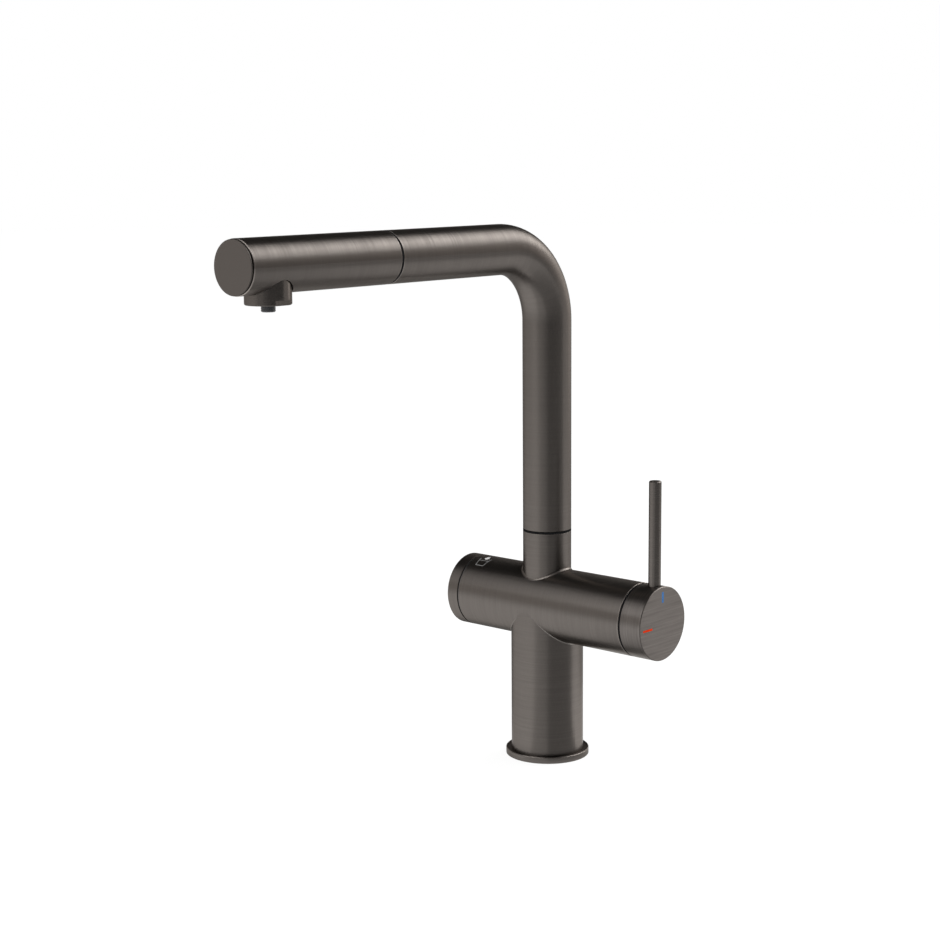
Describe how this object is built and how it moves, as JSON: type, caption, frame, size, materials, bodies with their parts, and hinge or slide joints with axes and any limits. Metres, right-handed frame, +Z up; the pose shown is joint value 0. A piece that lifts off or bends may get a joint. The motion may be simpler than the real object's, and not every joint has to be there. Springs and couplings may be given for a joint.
{
  "type": "three-way kitchen mixer tap",
  "caption": "Tall L-spout kitchen mixer with a separate filtered-water way: swivelling spout, pull-out wand, lever handle on one end of a cross tube and filter knob on the other.",
  "frame": {"origin": "centre of the tap hole on the worktop's top face, under the column's axis", "axes": "+Z up along the column, -Y along the spout arm towards the outlet at rest, +X towards the mixer handle, -X towards the filter knob"},
  "size_m": [0.1531, 0.2782, 0.397],
  "materials": {
    "brushed_gunmetal": "brushed round the tube, dark warm grey coating",
    "satin_gunmetal": "satin, dark warm grey coating",
    "plain_steel": "turned, uncoated",
    "brass": "turned, unplated",
    "black_plastic": "moulded, fine matt",
    "white_plastic": "moulded",
    "blue_plastic": "moulded",
    "black_rubber": "matt",
    "valve_ceramic": "lapped",
    "hose_nylon": "braided nylon sheath",
    "sign_grey": "printed line sign",
    "blue_enamel": "filled groove",
    "red_enamel": "filled groove"
  },
  "bodies": {
    "tap_body": {"main_body": "brushed_gunmetal", "base_ring": "brushed_gunmetal", "base_seal": "black_rubber", "fixing_shank": "brass", "under_rubber": "black_rubber", "under_washer": "plain_steel", "shank_nut": "brass", "tension_screws": "plain_steel", "mixer_seat_seal": "black_rubber", "mixer_cartridge": "white_plastic", "mixer_fixed_disc": "valve_ceramic", "mixer_nut": "brass", "handle_slip_ring": "black_plastic", "filter_seat_seal": "black_rubber", "filter_valve_body": "brass", "filter_fixed_disc": "valve_ceramic", "filter_nut": "brass", "knob_slip_ring": "black_plastic", "filter_sign": "sign_grey", "swivel_socket": "brass", "swivel_o_rings": "black_rubber", "wear_ring": "black_plastic"},
    "spout": {"spout_tube": "brushed_gunmetal", "spout_bearing": "white_plastic", "stop_screw": "plain_steel", "dock_sleeve": "black_plastic", "hose_in_spout": "hose_nylon"},
    "wand": {"wand_shell": "brushed_gunmetal", "wand_end_cap": "satin_gunmetal", "wand_core": "black_plastic", "wand_spigot": "plain_steel", "spigot_o_ring": "black_rubber", "check_valve": "blue_plastic", "outlet_collar": "satin_gunmetal", "aerator_insert": "black_plastic", "aerator_gasket": "black_rubber", "filter_stem": "black_plastic", "hose_ferrule": "plain_steel", "pull_out_hose": "hose_nylon"},
    "mixer_handle": {"handle_cap": "brushed_gunmetal", "lever_pin": "satin_gunmetal", "handle_grub_screw": "plain_steel", "mixer_spindle": "brass", "mixer_moving_disc": "valve_ceramic", "cold_mark": "blue_enamel", "hot_mark": "red_enamel"},
    "filter_handle": {"filter_knob": "brushed_gunmetal", "knob_grub_screw": "plain_steel", "filter_spindle": "brass", "filter_moving_disc": "valve_ceramic"}
  },
  "joints": [
    {"name": "spout_swivel", "type": "hinge", "parent": "tap_body", "child": "spout", "pos_m": [0, 0, 0.144], "axis": [0, 0, 1], "range_deg": [-135, 135]},
    {"name": "wand_pull", "type": "slide", "parent": "spout", "child": "wand", "axis": [0, -1, 0], "range_m": [0, 0.4], "stiffness_N_per_m": 4, "springref_m": -1},
    {"name": "mixer_turn", "type": "hinge", "parent": "tap_body", "child": "mixer_handle", "pos_m": [0.0739, 0, 0.097], "axis": [1, 0, 0], "range_deg": [0, 90]},
    {"name": "filter_turn", "type": "hinge", "parent": "tap_body", "child": "filter_handle", "pos_m": [-0.0555, 0, 0.097], "axis": [1, 0, 0], "range_deg": [0, 90]}
  ]
}
